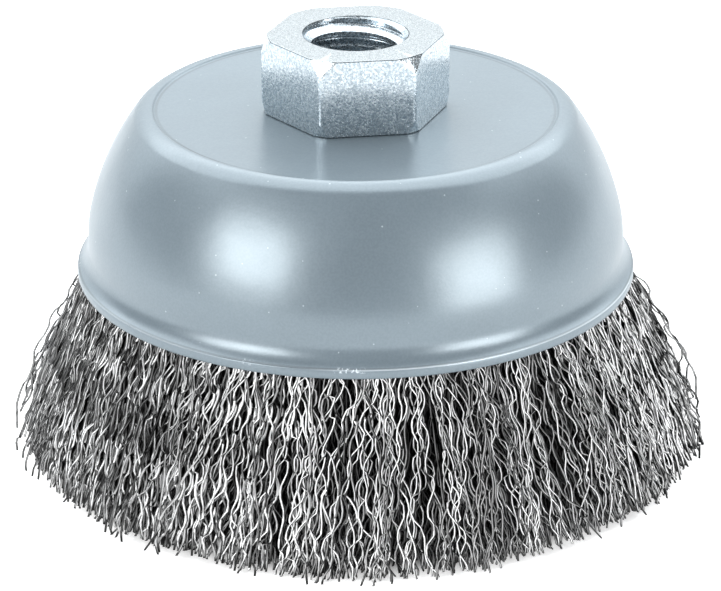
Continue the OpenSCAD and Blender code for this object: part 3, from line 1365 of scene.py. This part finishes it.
@dataclass(frozen=True)
class Enamel(Finish):
    """Semi-gloss stoving enamel with a slight orange peel, dust and nicks on the rim, with painted shade in the crease
    and along a line above the rim's corner, and a painted highlight along the rim's edge.

    Attributes:
        crease_r: Radius of the painted shade line in the crease round the crown panel, in metres.
        rim_z: Level of the rim's upper corner, in metres.
        dust: Colour of the dust specks.
        nick_and_highlight: Colour of the sheet where the rim is nicked, also used for the painted highlight along the
            rim's edge.
        tint: Tint of its gloss.
    """

    crease_r: float = 0.0265
    rim_z: float = 0.0253
    dust: tuple[float, float, float, float] = srgb(214, 224, 230)
    nick_and_highlight: tuple[float, float, float, float] = srgb(236, 244, 250)
    tint: tuple[float, float, float, float] = (0.8, 0.91, 0.97, 1.0)

    def dress(self, shader: Shader, skin: bpy.types.Node, coords: bpy.types.NodeSocket) -> None:
        """Adds cloudiness, dust specks, painted shade in the crease and above the rim's corner, nicks, a painted
        highlight along the rim's edge and orange peel.
        """
        cloud = shader.spread(shader.noise(coords, 90, 3), 0.3, 0.7)
        darker = tuple(part * 0.9 for part in self.colour[:3]) + (1.0,)
        base = shader.mix(cloud, darker, self.colour)
        mottle = shader.spread(shader.noise(coords, 3400, 1), 0.35, 0.65, 0.0, 0.03)
        base = shader.mix(mottle, base, self.dust)
        dust = SpeckGroup.use(shader, coords, 900, 0.1, 0.12)
        base = shader.mix(shader.math("MULTIPLY", dust.outputs["Specks"], 0.35), base, self.dust)
        away, height = shader.from_axis(coords)
        # Painted shade: a dark line in the crease round the crown panel.
        crease = shader.spread(shader.noise(coords, 40, 1), 0.35, 0.65, 0.2, 0.7)
        crease = shader.math("MULTIPLY", shader.band(away, self.crease_r, 0.00012, 0.00012), crease)
        base = shader.mix(crease, base, (0.02, 0.025, 0.03, 1.0))
        # Painted shade: a dark line just above the rim's upper corner.
        rim_shade_line = shader.math("MULTIPLY", shader.band(height, self.rim_z + 0.00012, 0.00007, 0.00008), 0.55)
        base = shader.mix(rim_shade_line, base, (0.03, 0.035, 0.04, 1.0))
        nicked = shader.spread(shader.noise(coords, 85, 1), 0.56, 0.64)
        nicked = shader.math("MULTIPLY", nicked, shader.spread(shader.noise(coords, 2300, 2), 0.56, 0.66))
        nicked = shader.math("MULTIPLY", nicked, shader.band(height, self.rim_z, 0.0002, 0.0002))
        base = shader.mix(nicked, base, self.nick_and_highlight)
        # Painted highlight: a pale line in patches along the rim's upper edge.
        rim_highlight = shader.spread(shader.noise(coords, 26, 1), 0.44, 0.56, 0.0, 0.36)
        rim_highlight = shader.math("MULTIPLY", rim_highlight, shader.band(height, self.rim_z + 0.00002, 0.00005, 0.00006))
        base = shader.mix(rim_highlight, base, self.nick_and_highlight)
        shader.link(base, skin.inputs["Base Color"])
        haze = shader.spread(shader.noise(coords, 160, 2), 0.2, 0.8, self.roughness - 0.02, self.roughness + 0.04)
        shader.link(haze, skin.inputs["Roughness"])
        peel = shader.noise(coords, 900, 2)
        fine = shader.noise(coords, 3600, 1)
        normal = shader.bump(peel, 0.00005, 0.25)
        normal = shader.bump(fine, 0.00001, 0.25, normal)
        normal = shader.bump(dust.outputs["Specks"], 0.00003, 0.5, normal)
        shader.link(normal, skin.inputs["Normal"])
        skin.inputs["IOR"].default_value = 2.1
        skin.inputs["Specular Tint"].default_value = self.tint


@dataclass(frozen=True)
class ZincPlate(Finish):
    """Bright zinc plate with a sparkling grain, with a dark line along the top's brim and a painted contact shadow at
    the foot.

    Attributes:
        top_z: Level of the nut's outer face, in metres.
        foot_z: Level of its foot on the crown, in metres, where a painted contact shadow lies.
        grain: Crystals for each metre.
        dull: Colour of the duller crystals.
        faced: Colour of the nut's outer face, which is turned.
    """

    top_z: float = 0.0574
    foot_z: float = 0.0469
    grain: float = 5200
    dull: tuple[float, float, float, float] = srgb(168, 180, 188)
    faced: tuple[float, float, float, float] = srgb(165, 170, 172)

    def dress(self, shader: Shader, skin: bpy.types.Node, coords: bpy.types.NodeSocket) -> None:
        """Adds crystals that catch the light one by one, a dark line at the top's brim and a painted contact shadow at
        the foot.
        """
        specks = SpeckGroup.use(shader, coords, self.grain, 0.3, 0.3)
        mottled = shader.spread(shader.noise(coords, 3200, 3), 0.4, 0.62)
        base = shader.mix(mottled, self.dull, self.colour)
        base = shader.mix(shader.math("MULTIPLY", specks.outputs["Grain"], 0.35), base, self.dull)
        _, height = shader.from_axis(coords)
        outer = shader.band(height, self.top_z, 0.00002, 0.00002)
        base = shader.mix(shader.math("MULTIPLY", outer, 0.9), base, self.faced)
        # Dark lines: one along the top's brim, and a painted contact shadow where the foot meets the crown.
        brim = shader.band(height, self.top_z - 0.00007, 0.00003, 0.00003)
        foot = shader.band(height, self.foot_z + 0.00004, 0.00008, 0.00006)
        edge = shader.math("MULTIPLY", shader.math("MAXIMUM", brim, foot), 0.85)
        base = shader.mix(edge, base, (0.06, 0.08, 0.09, 1.0))
        shader.link(base, skin.inputs["Base Color"])
        rough = shader.spread(specks.outputs["Grain"], 0, 1, self.roughness - 0.1, self.roughness + 0.14)
        shader.link(rough, skin.inputs["Roughness"])
        normal = shader.bump(specks.outputs["Grain"], 0.00002, 0.35)
        normal = shader.bump(shader.noise(coords, 2500, 3), 0.00003, 0.35, normal)
        shader.link(normal, skin.inputs["Normal"])


@dataclass(frozen=True)
class RolledSteel(Finish):
    """Bare rolled steel with a dull, uneven skin."""

    def dress(self, shader: Shader, skin: bpy.types.Node, coords: bpy.types.NodeSocket) -> None:
        """Adds dull patches and a fine grain."""
        patches = shader.spread(shader.noise(coords, 260, 4), 0.35, 0.65)
        darker = tuple(part * 0.6 for part in self.colour[:3]) + (1.0,)
        shader.link(shader.mix(patches, darker, self.colour), skin.inputs["Base Color"])
        rough = shader.spread(patches, 0, 1, self.roughness + 0.12, self.roughness)
        shader.link(rough, skin.inputs["Roughness"])
        specks = SpeckGroup.use(shader, coords, 3000, 0.3, 0.3)
        shader.link(shader.bump(specks.outputs["Grain"], 0.00002, 0.4), skin.inputs["Normal"])


@dataclass(frozen=True)
class DrawnWire(Finish):
    """Bright drawn steel wire, with painted shade that darkens it far inside the skirt and on the flanks of each wire.

    Attributes:
        deep_shade: How much of the brightness the painted shade takes away at full depth.
        side_shade: How much of the brightness painted shade takes off the flanks of a wire, where they turn away from
            the camera.
    """

    deep_shade: float = 0.95
    side_shade: float = 0.94

    def dress(self, shader: Shader, skin: bpy.types.Node, coords: bpy.types.NodeSocket) -> None:
        """Adds the brightness of each wire, small marks along it, and painted shade at depth and on each wire's flanks.
        """
        bright = shader.add("ShaderNodeAttribute", attribute_name="wire_bright").outputs["Fac"]
        depth = shader.add("ShaderNodeAttribute", attribute_name="wire_depth_shade").outputs["Fac"]
        marks = shader.spread(shader.noise(coords, 1500, 2), 0.35, 0.65, 0.86, 1.1)
        # Painted shade: brightness falls with the painted depth of each point.
        light = shader.math("MULTIPLY", shader.math("MULTIPLY", bright, marks), shader.spread(depth, 0, 1, 1, 1 - self.deep_shade))
        # Painted shade: the flanks of each wire, where they turn away from the camera, are darkened.
        turned = shader.add("ShaderNodeLayerWeight")
        turned.inputs["Blend"].default_value = 0.5
        light = shader.math("MULTIPLY", light, shader.spread(turned.outputs["Facing"], 0.24, 0.56, 1.0, 1 - self.side_shade))
        black = (0.0, 0.0, 0.0, 1.0)
        shader.link(shader.mix(light, black, self.colour), skin.inputs["Base Color"])
        rough = shader.spread(shader.noise(coords, 900, 2), 0.3, 0.7, self.roughness - 0.06, self.roughness + 0.08)
        shader.link(rough, skin.inputs["Roughness"])
        skin.inputs["Specular IOR Level"].default_value = 0.15


@dataclass(frozen=True)
class PackedWire(Finish):
    """Bundle of wires that lie side by side, seen only between the drawn ones, whose dark colour is painted shade."""

    def dress(self, shader: Shader, skin: bpy.types.Node, coords: bpy.types.NodeSocket) -> None:
        """Adds dark lines of painted shade between the wires, which run down the skirt."""
        parts = shader.add("ShaderNodeSeparateXYZ")
        shader.link(coords, parts.inputs[0])
        around = shader.math("ARCTAN2", parts.outputs["Y"], parts.outputs["X"])
        joined = shader.add("ShaderNodeCombineXYZ")
        shader.link(shader.math("MULTIPLY", around, 0.04), joined.inputs["X"])
        shader.link(shader.math("MULTIPLY", parts.outputs["Z"], 0.12), joined.inputs["Y"])
        lines = shader.spread(shader.noise(joined.outputs[0], 2600, 2), 0.35, 0.65)
        black = (0.0, 0.0, 0.0, 1.0)
        shader.link(shader.mix(lines, black, self.colour), skin.inputs["Base Color"])
        shader.link(shader.bump(lines, 0.0003, 0.8), skin.inputs["Normal"])


# Studio


@dataclass(frozen=True)
class Softbox:
    """A rectangular studio lamp that faces a point of the brush.

    Attributes:
        name: Name of the lamp.
        place: Where it stands, in metres.
        size: Width and height in metres.
        power: Power in watts.
        target: Point that it faces, in metres.
        colour: Colour of the light.
    """

    name: str
    place: tuple[float, float, float]
    size: Point
    power: float
    target: tuple[float, float, float] = (0.0, 0.0, 0.03)
    colour: Colour = (1.0, 1.0, 1.0)

    def build(self) -> None:
        """Hangs the lamp."""
        lamp = bpy.data.lights.new(self.name, "AREA")
        lamp.shape = "RECTANGLE"
        lamp.size, lamp.size_y = self.size
        lamp.energy = self.power
        lamp.color = self.colour
        held = bpy.data.objects.new(self.name, lamp)
        toward = Vector(self.target) - Vector(self.place)
        held.matrix_world = Matrix.Translation(self.place) @ toward.to_track_quat("-Z", "Y").to_matrix().to_4x4()
        bpy.context.scene.collection.objects.link(held)


@dataclass(frozen=True)
class Studio:
    """Floor, lamps, world and camera.

    Attributes:
        elevation_deg: Height of the camera above the horizon.
        distance: Distance from the point that it looks at, in metres.
        aim_z: Height of that point on the axis, in metres.
        focal: Focal length for a sensor 36 mm wide.
        shift: Shift of the frame, as a share of its width.
        world_level: Brightness of the even light from all round.
        backdrop: Colour that the camera sees behind the object.
        floor_lift: Light that the floor adds where it is seen, so that it shows white.
        foot_r: Radius in metres under the brush where it adds none, which leaves a painted shadow there.
        lamps: The softboxes.
    """

    elevation_deg: float = math.degrees(0.404)
    distance: float = 0.52097
    aim_z: float = 0.02075
    focal: float = 191.7
    shift: Point = (0.0067, -0.0098)
    world_level: float = 0.25
    backdrop: float = 1.0
    floor_lift: float = 0.55
    foot_r: float = 0.0405
    lamps: Sequence[Softbox] = (
        Softbox("left_softbox", (-0.412, -0.398, 0.225), (0.35, 0.25), 2.5),
        Softbox("right_softbox", (0.468, -0.372, 0.135), (0.35, 0.26), 2.2),
        Softbox("back_softbox", (0.0, 0.8, 0.42), (3.2, 0.8), 10.6, colour=(0.92, 0.97, 1.0)),
        Softbox("top_softbox", (0.0, 0.33, 0.85), (3.0, 1.3), 36.0, colour=(0.95, 0.98, 1.0)),
    )

    def build_camera(self) -> None:
        """Places the camera in front of the brush at the photograph's angle."""
        lens = bpy.data.cameras.new("camera")
        lens.sensor_width = 36
        lens.lens = self.focal
        lens.shift_x, lens.shift_y = self.shift
        lens.clip_start = 0.01
        camera = bpy.data.objects.new("camera", lens)
        rise = math.radians(self.elevation_deg)
        camera.location = (0, -self.distance * math.cos(rise), self.aim_z + self.distance * math.sin(rise))
        camera.rotation_euler = (math.pi / 2 - rise, 0, 0)
        bpy.context.scene.collection.objects.link(camera)
        bpy.context.scene.camera = camera

    def build_world(self) -> None:
        """Lights the scene evenly and shows plain white behind it."""
        world = bpy.data.worlds.new("studio_world")
        world.use_nodes = True
        bpy.context.scene.world = world
        shader = Shader(world.node_tree)
        light = world.node_tree.nodes["Background"]
        light.inputs["Strength"].default_value = self.world_level
        light.inputs["Color"].default_value = (1, 1, 1, 1)
        behind = shader.add("ShaderNodeBackground")
        behind.inputs["Color"].default_value = (1, 1, 1, 1)
        behind.inputs["Strength"].default_value = self.backdrop
        rays = shader.add("ShaderNodeLightPath")
        blend = shader.add("ShaderNodeMixShader")
        shader.link(rays.outputs["Is Camera Ray"], blend.inputs[0])
        shader.link(light.outputs[0], blend.inputs[1])
        shader.link(behind.outputs[0], blend.inputs[2])
        shader.link(blend.outputs[0], world.node_tree.nodes["World Output"].inputs[0])

    def build_floor(self) -> None:
        """Lays a wide pale floor under the tips of the wires, with a painted shadow in a disc under the brush."""
        bm = bmesh.new()
        bmesh.ops.create_grid(bm, x_segments=1, y_segments=1, size=3.0)
        mesh = bpy.data.meshes.new("studio_floor")
        bm.to_mesh(mesh)
        bm.free()
        floor = bpy.data.objects.new("studio_floor", mesh)
        bpy.context.scene.collection.objects.link(floor)
        made = bpy.data.materials.new("studio_floor")
        made.use_nodes = True
        skin = made.node_tree.nodes["Principled BSDF"]
        skin.inputs["Base Color"].default_value = (0.8, 0.8, 0.8, 1)
        skin.inputs["Roughness"].default_value = 0.9
        skin.inputs["Specular IOR Level"].default_value = 0.0
        skin.inputs["Emission Color"].default_value = (1, 1, 1, 1)
        shader = Shader(made.node_tree)
        away, _ = shader.from_axis(shader.add("ShaderNodeTexCoord").outputs["Object"])
        # Painted shadow: no light is added inside a disc under the brush, which leaves the floor dark between the tips.
        lift = shader.spread(away, self.foot_r, self.foot_r + 0.0035, 0.0, self.floor_lift)
        seen = shader.add("ShaderNodeLightPath").outputs["Is Camera Ray"]
        lift = shader.math("MULTIPLY", lift, shader.spread(seen, 0, 1, 0.2, 1.0))
        shader.link(lift, skin.inputs["Emission Strength"])
        mesh.materials.append(made)

    def build(self) -> None:
        """Sets up the whole studio."""
        self.build_camera()
        self.build_world()
        self.build_floor()
        for lamp in self.lamps:
            lamp.build()
        bpy.context.scene.view_settings.view_transform = "Standard"


# The brush


@dataclass
class CupBrush:
    """The whole brush, piece by piece.

    Attributes:
        frame: Levels and radii of the brush.
    """

    frame: BrushFrame = field(default_factory=BrushFrame.read)

    def __post_init__(self) -> None:
        """Makes the shapes and the finishes that the pieces share."""
        self.cup = CupShape(self.frame)
        crease_r = (self.cup.crease()[0][0] - 0.15) * MM
        rim_z = self.cup.sheet().skin(0)[-1][1] * MM
        self.enamel = Enamel("blue_grey_enamel", srgb(91, 103, 111), 0.31, 0.0, crease_r, rim_z).material()
        nut_levels = (self.frame.nut_top_z * MM, self.cup.crown_z * MM)
        self.zinc = ZincPlate("bright_zinc_plate", srgb(220, 227, 231), 0.2, 0.96, *nut_levels).material()
        self.rolled = RolledSteel("rolled_steel", srgb(170, 172, 174), 0.42, 1.0).material()
        self.drawn = DrawnWire("drawn_steel_wire", srgb(249, 249, 249), 0.34, 0.25).material()
        # The packed wire's near-black colour is painted shade for the depths of the skirt.
        self.packed = PackedWire("packed_wire", srgb(38, 38, 38), 0.5, 0.6).material()

    def build_cup(self) -> None:
        """Presses the outer cup."""
        piece = spun_piece("enamelled_cup", self.cup.outline(), 180)
        show(piece, Slot.CUP_PAINT, self.enamel, "cup")

    def build_inner_cup(self) -> None:
        """Presses the inner cup."""
        piece = spun_piece("pressed_inner_cup", InnerCupShape(self.cup).outline(), 96)
        show(piece, Slot.PLAIN, self.rolled, "inner_cup")

    def build_nut(self) -> None:
        """Turns and threads the arbor nut."""
        show(ArborNut(self.frame, self.cup).build(), Slot.ZINC, self.zinc, "arbor_nut")

    def build_wires(self) -> None:
        """Lays the wires and gives each piece the CAD wires that it stands for."""
        layers = (
            WireLayer(Layer.SURFACE, 1140, 0.955, 1.02, 3, 2, 10, 0.31, 0.75, 12.0, 0.14, 32.0),
            WireLayer(Layer.OUTER, 2080, 0.8, 0.955, 2, 4, 11, 0.31, 0.5, 9.0, plane_deg=50.0, splay=0.8),
            WireLayer(Layer.MIDDLE, 2300, 0.2, 0.8, 1, 2, 12, 0.38),
            WireLayer(Layer.INNER, 1050, 0.0, 0.2, 1, 1, 13, 0.38),
        )
        skirt = WireSkirt(self.frame, self.cup)
        core = skirt.build_core(InnerCupShape(self.cup))
        show(core, Slot.PACKED, self.packed, "wire_fill")
        made = skirt.build(layers)
        outer = made[Layer.OUTER]
        per_piece = HANK_COUNT // len(outer)
        for number, piece in enumerate(outer):
            first = number * per_piece + 1
            hanks = [f"wire_hank_{k:02d}" for k in range(first, first + per_piece)]
            show(piece, Slot.WIRE, self.drawn, *hanks)
        for piece in made[Layer.MIDDLE]:
            show(piece, Slot.PACKED, self.drawn, "wire_fill")
        for piece in made[Layer.SURFACE] + made[Layer.INNER]:
            show(piece, Slot.WIRE, self.drawn)

    def dress_ring(self) -> None:
        """Gives the hidden anchor ring its finish."""
        ring = frame["nodes"]["anchor_ring"]
        ring.data.materials.clear()
        ring.data.materials.append(self.rolled)
        log.info("anchor_ring: CAD node with %s", self.rolled.name)

    def build(self) -> None:
        """Builds every piece."""
        self.build_cup()
        self.build_inner_cup()
        self.build_nut()
        self.build_wires()
        self.dress_ring()


def main() -> None:
    """Builds the studio and the brush."""
    logging.basicConfig(level=logging.INFO)
    Studio().build()
    CupBrush().build()


if __name__ == "__main__":
    main()
